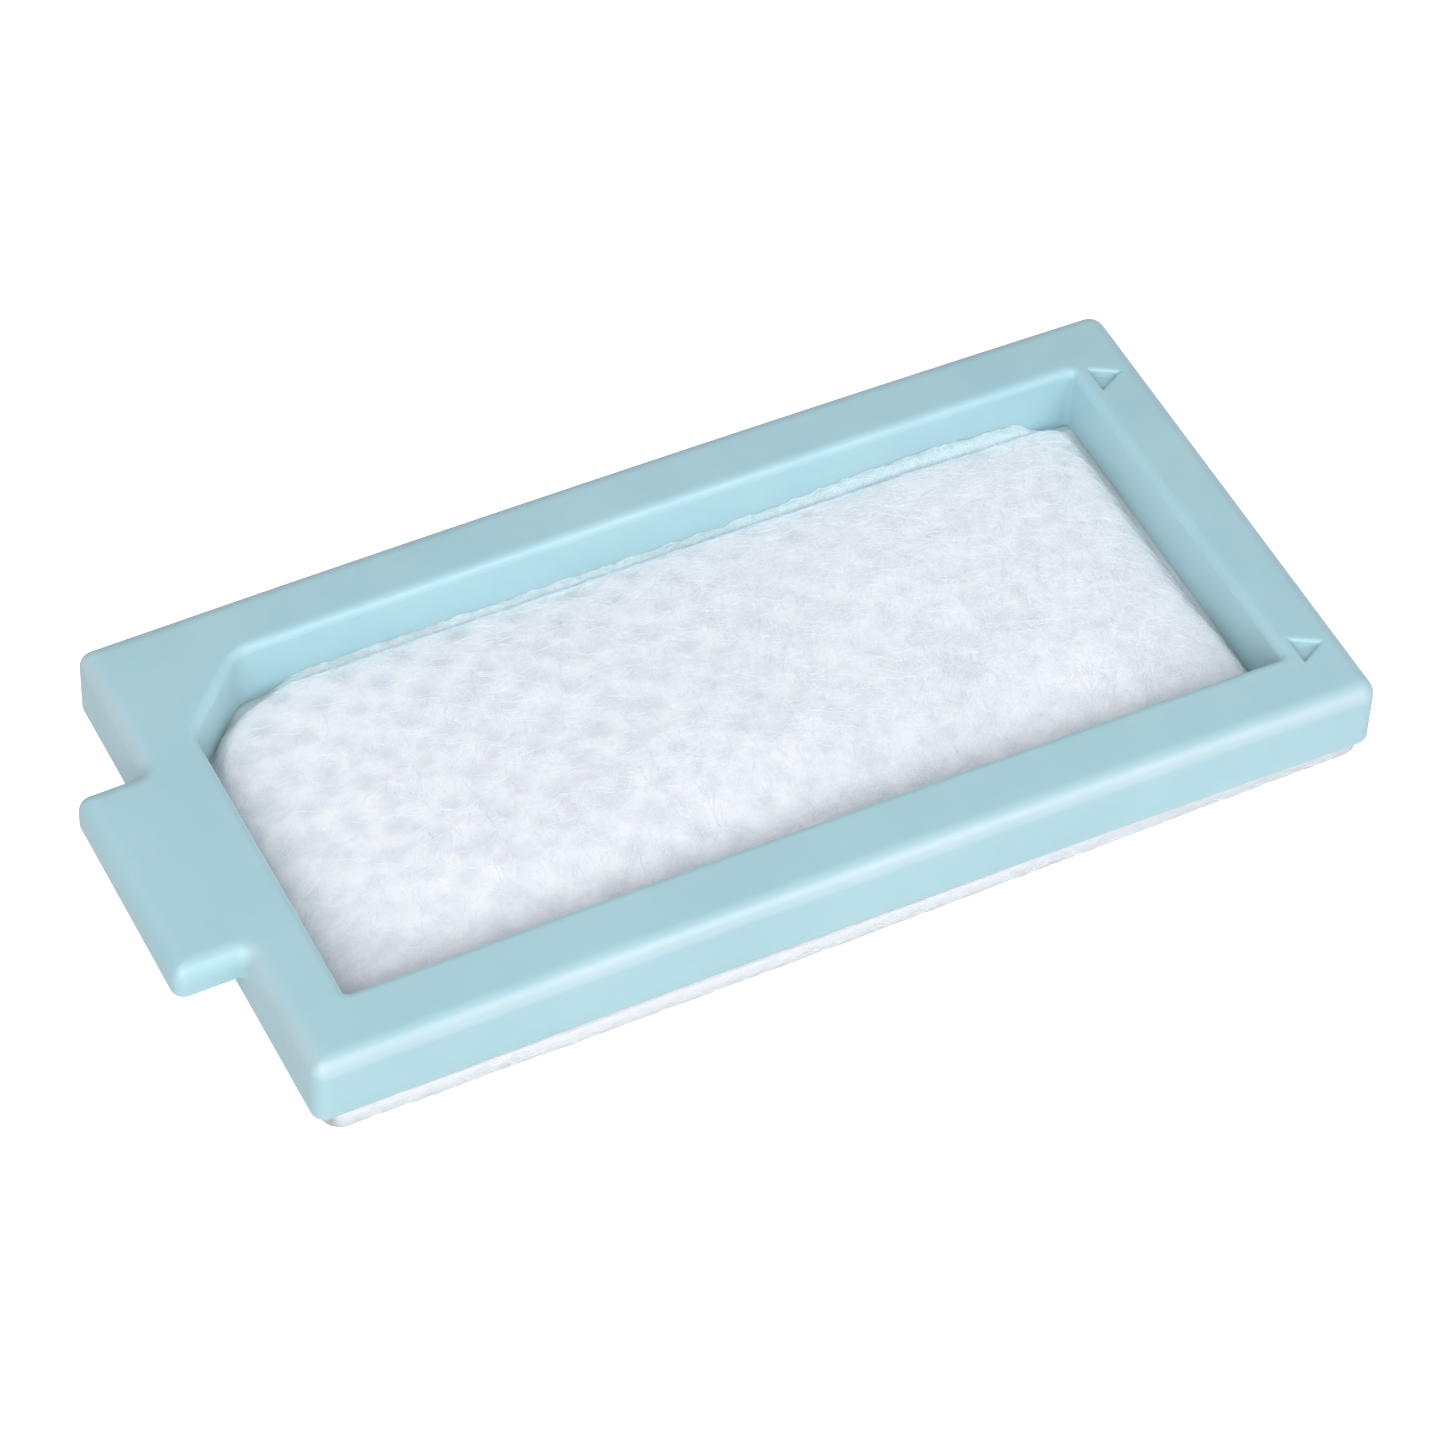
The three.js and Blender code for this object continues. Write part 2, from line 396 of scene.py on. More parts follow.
def fold_height(x):
    """How high the cover's turned-up edge stands along the far wall."""
    s = x - MID_X
    tall = 0.90 + 0.62 * bell((s - 16.0) / 7.5)
    ragged = 0.06 * value_noise(x, x * 0 + 3, 0.9, 5) + 0.05 * value_noise(x, x * 0 + 9, 0.3, 6)
    return (tall + ragged) * smooth((s + 22.5) / 4.5) * smooth((23.6 - s) / 2.6)


def fold_share(x):
    """Where along the far wall the cover's edge is turned up, from 0 to 1."""
    return smooth((x - MID_X + 21) / 4) * smooth((24 - x + MID_X) / 2.5)


def crease_room(x):
    """How far from the far wall the crease in front of the turned-up edge runs."""
    wander = 0.06 * value_noise(x, x * 0 + 40, 2.1, 12) + 0.02 * value_noise(x, x * 0 + 60, 0.5, 14)
    return FOLD_WIDTH + 0.05 * bell((x - MID_X - 17) / 8) + wander


def crease_notch(x, y):
    """The groove between the pad and the turned-up edge, wider on the pad's side."""
    off = AP_Y1 - y - crease_room(x)
    return bell(off / np.where(off > 0, 0.10, 0.06)) * fold_share(x)


def pad_room(x, y):
    """How far in from the pad's edge each place is. The far wall counts only where the cover's edge
    isn't turned up."""
    far_room = AP_Y1 - y + 3 * fold_share(x)
    wall = -aperture_field(x, y, PAD_CORNER_R)
    right_room = AP_X1 - x - 0.28 - 0.16 * value_noise(y, y * 0 + 7, 2.6, 13)
    return np.minimum(np.minimum(wall, far_room), right_room)


def pad_body(x, y, room):
    """The pad's smooth height: a rounded shoulder all the way round, and a crown with a broad top."""
    near = smooth((MID_AP[1] - y) / 7) * smooth((x - AP_X0 - 1) / 10)
    tall = 0.58 + 0.38 * near + 0.28 * smooth((y - MID_AP[1]) / 9)
    shoulder = tall * np.sqrt(np.clip(1 - (1 - np.clip(room / SHOULDER_RUN, 0, 1)) ** 2, 0, 1))
    u = np.clip(np.abs((x - MID_AP[0]) / HALF_AP[0]), 0, 1)
    v = np.clip(np.abs((y - MID_AP[1]) / HALF_AP[1]), 0, 1)
    across = np.where(x < MID_AP[0], u**9, u**6)
    along = np.where(y < MID_AP[1], v**4, v**2.5)
    return shoulder + CROWN_RISE * (1 - across) * (1 - along) * smooth(room)


def pad_surface(x, y, room):
    """What the pad's surface adds: broad lumps, one long dent, pits at the bonded points, and felt."""
    inner = smooth(room / 1.3)
    lumps = inner * (0.13 * value_noise(x, y, 6.5, 21) + 0.05 * value_noise(x, y, 2.3, 22))
    off_dent = (x - MID_AP[0] - 4) * 0.36 - (y - 1.5)
    dent = 0.10 * smooth((x - MID_AP[0] - 1) / 5) * smooth((AP_X1 - 3 - x) / 5) * bell(off_dent / 0.55)
    waves_x = np.cos(math.pi * (x - DOT_ORIGIN[0]) / STEP_X)
    waves_y = np.cos(math.pi * (y - DOT_ORIGIN[1]) / STEP_Y)
    pits = DOT_DEPTH * dot_pattern(x, y) + 0.012 * inner * waves_x * waves_y
    felt = 0.020 * value_noise(x, y, 0.8, 23) + 0.016 * value_noise(x, y, 0.42, 24)
    for k, angle in enumerate((0.35, -0.6, 1.3, 2.2)):
        felt = felt + 0.005 * turned_noise(x, y, angle, 1.0, 0.30, 30 + k)
    felt = felt * (0.35 + 0.65 * smooth(room / 0.8)) * (1 + 0.6 * smooth((x - MID_X + 12) / 16))
    return lumps - dent - pits + felt


def turned_edge(x, y):
    """The height of the cover's turned-up edge, and how far it takes over from the pad, 0 to 1."""
    room = AP_Y1 - y
    width, share = crease_room(x), fold_share(x)
    lines = 0.06 * value_noise(x * 0.6, room, 0.13, 44) + 0.06 * value_noise(x, room, 0.35, 45)
    climb = np.clip(1 - room / width, 0, 1) ** 0.7
    foot = (0.66 + 0.30 * bell((x - MID_X - 18) / 8)) * share
    ridge = foot + np.maximum(fold_height(x) - foot, -0.5) * climb + lines * climb**0.3
    return ridge, smooth((width + 0.03 - room) / 0.08) * share


def pad_rise(x, y, fine):
    """The cover's height above the frame's foot inside the aperture."""
    room = pad_room(x, y)
    rise = pad_body(x, y, room)
    if not fine:
        return rise
    rise = rise + pad_surface(x, y, room)
    ridge, taken = turned_edge(x, y)
    return rise * (1 - taken) + ridge * taken - CREASE_DEPTH * crease_notch(x, y)


def cover_top(x, y, fine=True):
    """The cover's top side, before the arch: under the frame it is pressed flat."""
    inside = smooth((0.17 - aperture_field(x, y, APERTURE_CORNER_R)) / 0.09)
    return FOOT_Z - FOOT_GAP + inside * np.maximum(pad_rise(x, y, fine), 0.0)


def cover_under(x, y):
    """The cover's underside, before the arch. It is thinner where the pad puffs up."""
    top = cover_top(x, y, fine=False)
    thick = COVER_T - 0.14 * smooth((top - FOOT_Z - 0.4) / 0.6)
    return np.maximum(top - thick - 0.25 * smooth((top - FOOT_Z - 1.0) / 1.0), PLY_SPLIT_Z + 0.002)


def near_shift(x):
    """How far the near edge is moved from where the CAD has it."""
    return near_inset(x) - (SHEET_LOW[1] - BODY_Y0)


def sheet_plan(xs, ys, seed=EDGE_SEED):
    """Plan positions of a sheet's grid: its corners are rounded and its edges a little ragged."""
    x, y = np.meshgrid(xs, ys, indexing="ij")
    x, y = x.copy(), y.copy()
    middle = ((xs[0] + xs[-1]) / 2, (ys[0] + ys[-1]) / 2)
    half = ((xs[-1] - xs[0]) / 2, (ys[-1] - ys[0]) / 2)
    a = (np.abs(x - middle[0]) - half[0]) / PLAN_R + 1
    b = (np.abs(y - middle[1]) - half[1]) / PLAN_R + 1
    corner = (a > 0) & (b > 0)
    sx, sy = np.sign(x - middle[0]), np.sign(y - middle[1])
    ca, cb = a * np.sqrt(1 - b * b / 2), b * np.sqrt(1 - a * a / 2)
    x = np.where(corner, middle[0] + sx * (half[0] - PLAN_R + PLAN_R * ca), x)
    y = np.where(corner, middle[1] + sy * (half[1] - PLAN_R + PLAN_R * cb), y)
    near = smooth((AP_Y0 - 0.6 - y) / 2.4)
    y = y + near * near_shift(x)
    edge = np.clip(np.maximum(np.maximum(a, b), 0) ** 3, 0, 1)
    rough = 0.03 * value_noise(x, y, 0.9, seed) + 0.02 * value_noise(x, y, 0.33, seed + 1)
    x = x + edge * rough * sx * (np.abs(a) > np.abs(b) - 0.3)
    y = y + edge * rough * sy
    return x, y


def cover_lines():
    """The cover's grid lines: fine inside the aperture and finest along the turned-up edge."""
    x0, x1, y0, y1 = SHEET_LOW[0], SHEET_HIGH[0], SHEET_LOW[1], SHEET_HIGH[1]
    xs = spaced_lines(
        (x0, x0 + 0.3, 0.1), (x0 + 0.3, AP_X0 - 0.1, 0.4), (AP_X0 - 0.1, AP_X0 + 0.3, 0.08),
        (AP_X0 + 0.3, AP_X1 - 0.7, 0.19), (AP_X1 - 0.7, AP_X1 + 0.1, 0.09),
        (AP_X1 + 0.1, x1 - 0.3, 0.45), (x1 - 0.3, x1, 0.1),
    )
    ys = spaced_lines(
        (y0, y0 + 0.3, 0.1), (y0 + 0.3, AP_Y0 - 0.1, 0.6), (AP_Y0 - 0.1, AP_Y0 + 0.3, 0.08),
        (AP_Y0 + 0.3, AP_Y1 - 1.1, 0.17), (AP_Y1 - 1.1, AP_Y1 + 0.17, 0.053),
        (AP_Y1 + 0.17, y1 - 0.3, 0.6), (y1 - 0.3, y1, 0.1),
    )
    return xs, ys


def from_edge(x, y, xs, ys):
    """How far each place of a sheet's grid is from its nearest edge."""
    return np.minimum(np.minimum(x - xs[0], xs[-1] - x), np.minimum(y - ys[0], ys[-1] - y))


def edge_fall(edge, depth, reach):
    """How far a sheet's side has turned towards its middle thickness near its edge."""
    t = np.clip(edge / reach, 0, 1)
    return depth * (1 - np.sqrt(1 - (1 - t) ** 2))


def cover_looks(points):
    """The shares that the cover's material mixes by, at each point: the bonded points' own grey, painted
    shade, painted light, and a painted aqua shade by the walls.
    """
    x, y = points[:, 0], points[:, 1]
    height = points[:, 2] - arch(x)
    far, side = AP_Y1 - y, AP_X1 - x
    # The bonded points are greyer in their own colour. The crease's share is painted shade in the groove
    # in front of the turned-up edge.
    bond_and_painted_shade = dot_pattern(x, y, radius=0.40) * 1.6 + 0.9 * crease_notch(x, y)
    mottle = np.clip(value_noise(x, y, 0.55, 61) + 0.7 * value_noise(x, y, 0.30, 62), 0, 1.2)
    rightward = smooth((x - MID_X + 16) / 18) * (aperture_field(x, y, APERTURE_CORNER_R) < 0)
    bond_and_painted_shade = bond_and_painted_shade + (0.02 + 0.34 * mottle) * rightward
    # Painted shadow: a thin grey line along the cover's bottom edge, next to the floor.
    bond_and_painted_shade = np.clip(bond_and_painted_shade + 0.2 * smooth((0.13 - height) / 0.08), 0, 1)
    # Painted light: the felt is whitened near the far and right walls, as light off the walls would do,
    # and all over the cut edge below the frame's foot.
    near_walls = 0.9 * np.exp(-np.clip(far, 0, 20) / 2.2) + 0.6 * np.exp(-np.clip(side, 0, 20) / 1.5)
    painted_light_share = np.where(height < FOOT_Z - 0.01, 1.0, np.clip(near_walls, 0, 1))
    # Painted shade with aqua light off the frame: the felt is tinted a darker aqua on the turned-up edge
    # and in bands along the far and right walls.
    on_fold = smooth((crease_room(x) + 0.05 - far) / 0.12)
    painted_wall_share = on_fold * (0.45 + 0.5 * smooth((x - MID_X + 6) / 12))
    painted_wall_share = painted_wall_share + 0.12 * np.exp(-np.clip(far, 0, 9) / 0.9)
    painted_wall_share = painted_wall_share + 0.14 * np.exp(-np.clip(side, 0, 9) / 0.7)
    painted_wall_share = np.clip(painted_wall_share, 0, 1) * (points[:, 2] > FOOT_Z)
    return {"bond_and_painted_shade": bond_and_painted_shade, "painted_wall_bounce_shade": painted_wall_share, "painted_light_share": painted_light_share}


def build_cover(material):
    """The cover ply, whose rim closes down over the backing's edge."""
    xs, ys = cover_lines()
    gx, gy = np.meshgrid(xs, ys, indexing="ij")
    x, y = sheet_plan(xs, ys)
    edge = from_edge(gx, gy, xs, ys)
    top = cover_top(x, y) + arch(x) - edge_fall(edge, 0.16, 0.22) * 0.6
    under = np.minimum(cover_under(x, y) + arch(x), top - 0.12)
    under = np.where(edge < SEAL_W, SEAL_Z + 0.4 * np.clip(0.1 - edge, 0, 1) + arch(x), under)
    points, quads = closed_sheet((x, y, top), (x, y, under))
    return make_object("cover_ply_felt", points, quads, material, attributes=cover_looks(points))


def build_backing(material):
    """The backing ply, with an even pattern of bonded points on its underside."""
    x0, x1 = SHEET_LOW[0] + BACKING_INSET, SHEET_HIGH[0] - BACKING_INSET
    y0, y1 = SHEET_LOW[1] + BACKING_INSET, SHEET_HIGH[1] - BACKING_INSET
    xs = spaced_lines((x0, x0 + 0.3, 0.1), (x0 + 0.3, x1 - 0.3, 0.26), (x1 - 0.3, x1, 0.1))
    ys = spaced_lines((y0, y0 + 0.3, 0.1), (y0 + 0.3, y1 - 0.3, 0.26), (y1 - 0.3, y1, 0.1))
    gx, gy = np.meshgrid(xs, ys, indexing="ij")
    x, y = sheet_plan(xs, ys)
    even = [
        (DOT_ORIGIN[0] + i * STEP_X, DOT_ORIGIN[1] + j * STEP_Y, 1.0)
        for i in range(-18, 18)
        for j in range(-11, 9)
        if (i + j) % 2 == 0
    ]
    edge = from_edge(gx, gy, xs, ys)
    soft = 0.015 * value_noise(x, y, 0.7, 73) + 0.02 * value_noise(x, y, 3.5, 74)
    dimples = smooth((edge - 0.6) / 0.8) * (0.10 * dot_pattern(x, y, even) + np.abs(soft) * 0.5)
    top = PLY_SPLIT_Z - 0.002 + arch(x)
    under = 0.012 + arch(x) + edge_fall(edge, 0.15, 0.2) + dimples
    points, quads = closed_sheet((x, y, top), (x, y, under))
    bond_and_painted_shade = np.clip(dot_pattern(points[:, 0], points[:, 1], even), 0, 1)
    return make_object("backing_felt", points, quads, material, attributes={"bond_and_painted_shade": bond_and_painted_shade})


def build_batt(material):
    """The loose fibre between the plies, filling the pad from inside."""
    xs = np.linspace(AP_X0 + 0.9, AP_X1 - 1.2, 96)
    ys = np.linspace(AP_Y0 + 0.9, AP_Y1 - 1.5, 44)
    x, y = np.meshgrid(xs, ys, indexing="ij")
    outward = aperture_field(x, y, PAD_CORNER_R) + 0.8
    push = 0.75 * np.maximum(0, outward)
    x, y = x + push, y - push * (x < AP_X0 + 8) * (y > 0)
    floor_z = PLY_SPLIT_Z + 0.004 + arch(x)
    room = cover_under(x, y) + arch(x) - 0.03 - floor_z
    lumps = 0.02 * value_noise(x, y, 1.1, 82) * smooth(-outward / 2)
    top = floor_z + np.maximum(room - 0.04 + lumps, 0.05)
    points, quads = closed_sheet((x, y, top), (x, y, floor_z))
    return make_object("fibre_batt_core", points, quads, material)


# ---------------------------------------------------------------- loose fibres
STRAND_POINTS = 6
STRAND_R = (0.008, 0.014)


def wandering(starts, headings, lengths, rng):
    """Plan paths of fibres that bend at random as they go."""
    n = len(starts)
    turn = rng.normal(0, 0.30, (n, STRAND_POINTS)).cumsum(axis=1) * 0.6
    turn = turn + rng.normal(0, 0.22, n)[:, None]
    angle = headings[:, None] + turn
    step = (lengths / (STRAND_POINTS - 1))[:, None]
    still = np.zeros((n, 1))
    x = starts[:, :1] + np.concatenate([still, np.cumsum(np.cos(angle[:, 1:]) * step, axis=1)], axis=1)
    y = starts[:, 1:] + np.concatenate([still, np.cumsum(np.sin(angle[:, 1:]) * step, axis=1)], axis=1)
    return x, y


def strands(name, line, radii, material, rng):
    """Fine three-sided closed fibres along paths, an array of fibre, point, xyz."""
    n, parts = line.shape[:2]
    ahead = np.gradient(line, axis=1)
    ahead /= np.linalg.norm(ahead, axis=2, keepdims=True)
    side = np.cross(ahead, np.array([0, 0, 1.0]))
    side /= np.maximum(np.linalg.norm(side, axis=2, keepdims=True), 1e-9)
    up = np.cross(side, ahead)
    taper = np.array([0.45] + [1.0] * (parts - 2) + [0.45])[None, :, None] * radii[:, None, None]
    rings = []
    for k in range(3):
        phase = 2 * math.pi * k / 3 + math.pi / 2
        rings.append(line + taper * (side * math.cos(phase) + up * math.sin(phase)))
    points = np.stack(rings, axis=2).reshape(-1, 3)
    base = np.arange(n)[:, None] * parts * 3
    quads = []
    for p in range(parts - 1):
        for k in range(3):
            a, b = p * 3 + k, p * 3 + (k + 1) % 3
            quads.append(base + np.array([[a, b, b + 3, a + 3]]))
    last = (parts - 1) * 3
    caps = [base + np.array([[2, 1, 0]]), base + np.array([[last, last + 1, last + 2]])]
    faces = [np.concatenate(quads)[:, ::-1], np.concatenate(caps)[:, ::-1]]
    shade = np.repeat(rng.uniform(0, 1, n), parts * 3)
    made = make_object(name, points, faces, material, attributes={"shade": shade})
    made.visible_shadow = made.visible_diffuse = False
    return made


def lie_on_cover(x, y, radii, lift, rng):
    """Paths that follow the cover and bow off it by up to the lift."""
    s = np.linspace(0, 1, x.shape[1])[None, :]
    rise = rng.uniform(*lift, len(x))[:, None] * np.sin(math.pi * s) + 0.35 * radii[:, None]
    x = np.clip(x, AP_X0 + 0.15, AP_X1 - 0.12)
    y = np.clip(y, AP_Y0 + 0.15, AP_Y1 - 0.05)
    return np.stack([x, y, cover_top(x, y) + arch(x) + rise], axis=2)


def build_cover_fibres(name, material, count, long, thick, lift, seed):
    """Fibres that lie on the cover in every direction, more of them away from the tab."""
    rng = np.random.default_rng(seed)
    starts = rng.uniform((AP_X0, AP_Y0), (AP_X1, AP_Y1), (count * 2, 2))
    starts = starts[aperture_field(*starts.T, PAD_CORNER_R) < -0.5]
    fluffier = (starts[:, 0] - AP_X0) / (AP_X1 - AP_X0)
    keep = rng.uniform(0, 1, len(starts)) < 0.08 + 0.92 * fluffier
    starts = starts[keep][:count]
    n = len(starts)
    lengths, radii = rng.uniform(*long, n), rng.uniform(*thick, n)
    x, y = wandering(starts, rng.uniform(0, 2 * math.pi, n), lengths, rng)
    return strands(name, lie_on_cover(x, y, radii, lift, rng), radii, material, rng)


def build_fold_fibres(material, count=2600):
    """Fibres that run along the turned-up edge, lifting off it."""
    rng = np.random.default_rng(97)
    x0, x1 = MID_X - 19, MID_X + 23
    starts = np.stack([rng.uniform(x0, x1, count), AP_Y1 - rng.uniform(0.06, 0.95, count)], axis=1)
    headings = rng.normal(0, 0.45, count) + math.pi * rng.integers(0, 2, count)
    radii = rng.uniform(*STRAND_R, count)
    x, y = wandering(starts, headings, rng.uniform(0.3, 1.5, count), rng)
    return strands("fold_fibres", lie_on_cover(x, y, radii, (0.0, 0.10), rng), radii, material, rng)


def build_rim_fibres(material, count=3200):
    """Short fibres that stand off the laminate's cut edges, all round."""
    rng = np.random.default_rng(99)
    x0, x1, y0, y1 = SHEET_LOW[0], SHEET_HIGH[0], SHEET_LOW[1], SHEET_HIGH[1]
    spans = ((x0, y0, x1, y0), (x1, y0, x1, y1), (x1, y1, x0, y1), (x0, y1, x0, y0))
    lines = []
    for k, (ax, ay, bx, by) in enumerate(spans):
        side = math.hypot(bx - ax, by - ay)
        share = side / (2 * (x1 - x0 + y1 - y0))
        n = int(count * share * (1.5 if k == 0 else 0.8))
        t = rng.uniform(0.03, 0.97, n)[:, None]
        run = rng.uniform(0.15, 0.7, n)[:, None] * rng.choice((-1.0, 1.0), n)[:, None]
        s = np.linspace(0, 1, STRAND_POINTS)[None, :]
        ux, uy = (bx - ax) / side, (by - ay) / side
        poke = rng.uniform(0.02, 0.14, n)[:, None] * np.sin(math.pi * s) - 0.03
        x = ax + (bx - ax) * t + ux * run * (s - 0.5) + uy * poke
        y = ay + (by - ay) * t + uy * run * (s - 0.5) - ux * poke
        if k == 0:
            y = y + near_shift(x)
        z = rng.uniform(0.08, FOOT_Z - 0.06, n)[:, None] + rng.normal(0, 0.06, n)[:, None] * s
        lines.append(np.stack([x, y, np.clip(z, 0.02, FOOT_Z - 0.02) + arch(x)], axis=2))
    lines = np.concatenate(lines)
    radii = rng.uniform(*STRAND_R, len(lines))
    return strands("rim_fibres", lines, radii, material, rng)


# ---------------------------------------------------------------- the frame
def frame_lines():
    """Grid lines for the frame's surface, close together where its edges are rounded."""
    xs = spaced_lines(
        (TAB_X0 - 0.1, TAB_X0 + 1.1, 0.11), (TAB_X0 + 1.1, BODY_X0 - 0.6, 0.3),
        (BODY_X0 - 0.6, BODY_X0 + 1.0, 0.12), (BODY_X0 + 1.0, AP_X0 - 0.5, 0.3),
        (AP_X0 - 0.5, AP_X0 + 0.5, 0.10), (AP_X0 + 0.5, AP_X0 + 4.6, 0.15),
        (AP_X0 + 4.6, AP_X1 - 0.4, 0.75), (AP_X1 - 0.4, AP_X1 + 0.55, 0.10),
        (AP_X1 + 0.55, ARROW_X - 0.2, 0.15), (ARROW_X - 0.2, ARROW_X + 1.75, 0.07),
        (ARROW_X + 1.75, BODY_X1 + 0.1, 0.11),
    )
    ys = spaced_lines(
        (BODY_Y0 - 0.1, BODY_Y0 + 1.1, 0.11), (BODY_Y0 + 1.1, ARROW_Y[0] - 1.1, 0.35),
        (ARROW_Y[0] - 1.1, ARROW_Y[0] + 1.1, 0.07), (ARROW_Y[0] + 1.1, TAB_Y0 - 0.7, 0.4),
        (TAB_Y0 - 0.7, TAB_Y0 + 1.1, 0.12), (TAB_Y0 + 1.1, TAB_Y1 - 1.1, 0.7),
        (TAB_Y1 - 1.1, TAB_Y1 + 0.7, 0.12), (TAB_Y1 + 0.7, ARROW_Y[1] - 1.1, 0.16),
        (ARROW_Y[1] - 1.1, ARROW_Y[1] + 1.1, 0.07), (ARROW_Y[1] + 1.1, AP_Y1 + 0.5, 0.1),
        (AP_Y1 + 0.5, BODY_Y1 - 1.1, 0.35), (BODY_Y1 - 1.1, BODY_Y1 + 0.1, 0.11),
    )
    zs = spaced_lines(
        (FOOT_Z - 0.1, FOOT_Z + 0.25, 0.06), (FOOT_Z + 0.25, TOP_Z - TAB_T - 0.1, 0.3),
        (TOP_Z - TAB_T - 0.1, TOP_Z - TAB_T + 0.25, 0.06), (TOP_Z - TAB_T + 0.25, TOP_Z - 0.85, 0.17),
        (TOP_Z - 0.85, TOP_Z + 0.08, 0.075),
    )
    return xs, ys, zs


def painted_highlight_share(x, y, normals):
    """How much painted highlight each place gets: where the moulding's outer top edges are rounded, 0 to
    1, but not on the tab.
    """
    level = np.clip(normals[:, 2], 0, 1)
    share = np.clip(4 * level * (1 - level), 0, 1) * smooth((x - BODY_X0 + 0.2) / 0.4)
    return share * smooth((aperture_field(x, y, APERTURE_CORNER_R) - 2.3) / 0.4)


def build_frame(material):
    """The moulding: its surface is found straight, then arched, with the arched surface's normals."""
    points, quads = surface_of(frame_field, *frame_lines())
    points, normals = settle(frame_field, points)
    x, y, z = points.T
    tilt = arch_slope(x) * normals[:, 2]
    normals = np.stack([normals[:, 0] - tilt, normals[:, 1], normals[:, 2]], axis=1)
    normals /= np.linalg.norm(normals, axis=1)[:, None]
    sink = SINK_DEPTH * np.exp(-((x - SINK[0]) ** 2 / 3.2 + (y - SINK[1]) ** 2 / 0.5))
    sink = sink * smooth((z - TOP_Z + 0.4) / 0.3)
    arched = np.stack([x, y, z + arch(x) - sink], axis=1)
    # Painted highlight: this share makes the frame's colour paler on its outer rounded top edges.
    looks = {"rounded": painted_highlight_share(x, y, normals)}
    return make_object("frame_moulding", arched, quads, material, normals=normals, attributes=looks)


# ---------------------------------------------------------------- materials
WHITE = (1.0, 1.0, 1.0)


class Nodes:
    """Short calls for a material's node tree."""

    def __init__(self, name):
        self.material = bpy.data.materials.new(name)
        self.material.use_nodes = True
        self.tree = self.material.node_tree
        self.shader = self.tree.nodes["Principled BSDF"]
        self.place = self.tree.nodes.new("ShaderNodeTexCoord").outputs["Object"]

    def link(self, a, b):
        self.tree.links.new(a, b)

    def noise(self, scale, detail=3, roughness=0.55, turn=0.0, stretch=None, distortion=0.0):
        """Noise from 0 to 1, stretched along an axis after a turn about Z if stretch is given."""
        source = self.place
        if stretch:
            spin = self.tree.nodes.new("ShaderNodeMapping")
            spin.inputs["Rotation"].default_value = (0, 0, turn)
            self.link(source, spin.inputs["Vector"])
            squeeze = self.tree.nodes.new("ShaderNodeMapping")
            squeeze.inputs["Scale"].default_value = stretch
            self.link(spin.outputs["Vector"], squeeze.inputs["Vector"])
            source = squeeze.outputs["Vector"]
        node = self.tree.nodes.new("ShaderNodeTexNoise")
        node.inputs["Scale"].default_value = scale
        node.inputs["Detail"].default_value = detail
        node.inputs["Roughness"].default_value = roughness
        node.inputs["Distortion"].default_value = distortion
        self.link(source, node.inputs["Vector"])
        return node.outputs["Fac"]

    def ramp(self, value, low, high, a, b):
        """Values from low to high become colours from a to b."""
        node = self.tree.nodes.new("ShaderNodeValToRGB")
        node.color_ramp.elements[0].position = low
        node.color_ramp.elements[1].position = high
        node.color_ramp.elements[0].color = (*a, 1)
        node.color_ramp.elements[1].color = (*b, 1)
        self.link(value, node.inputs["Fac"])
        return node.outputs["Color"]

    def math(self, kind, a, b):
        node = self.tree.nodes.new("ShaderNodeMath")
        node.operation = kind
        for socket, value in zip(node.inputs, (a, b)):
            if isinstance(value, (int, float)):
                socket.default_value = value
            else:
                self.link(value, socket)
        return node.outputs["Value"]

    def mix(self, share, a, b, blend="MIX"):
        node = self.tree.nodes.new("ShaderNodeMix")
        node.data_type = "RGBA"
        node.blend_type = blend
        for key, value in (("Factor", share), ("A", a), ("B", b)):
            socket = node.inputs[key]
            if isinstance(value, (int, float)):
                socket.default_value = value
            elif isinstance(value, tuple):
                socket.default_value = (*value, 1)
            else:
                self.link(value, socket)
        return [o for o in node.outputs if o.type == "RGBA"][0]

    def attribute(self, name):
        node = self.tree.nodes.new("ShaderNodeAttribute")
        node.attribute_name = name
        return node.outputs["Fac"]

    def bump(self, height, strength, distance, before=None):
        node = self.tree.nodes.new("ShaderNodeBump")
        node.inputs["Strength"].default_value = strength
        node.inputs["Distance"].default_value = distance
        self.link(height, node.inputs["Height"])
        if before is not None:
            self.link(before, node.inputs["Normal"])
        return node.outputs["Normal"]

    def lifted(self, normal, share):
        """A normal turned towards +Z, as loose fibres that stand every way shade a slope less."""
        add = self.tree.nodes.new("ShaderNodeVectorMath")
        add.operation = "ADD"
        add.inputs[1].default_value = (0, 0, share)
        self.link(normal, add.inputs[0])
        unit = self.tree.nodes.new("ShaderNodeVectorMath")
        unit.operation = "NORMALIZE"
        self.link(add.outputs[0], unit.inputs[0])
        return unit.outputs[0]

    def set(self, **values):
        for key, value in values.items():
            self.shader.inputs[key.replace("_", " ")].default_value = value


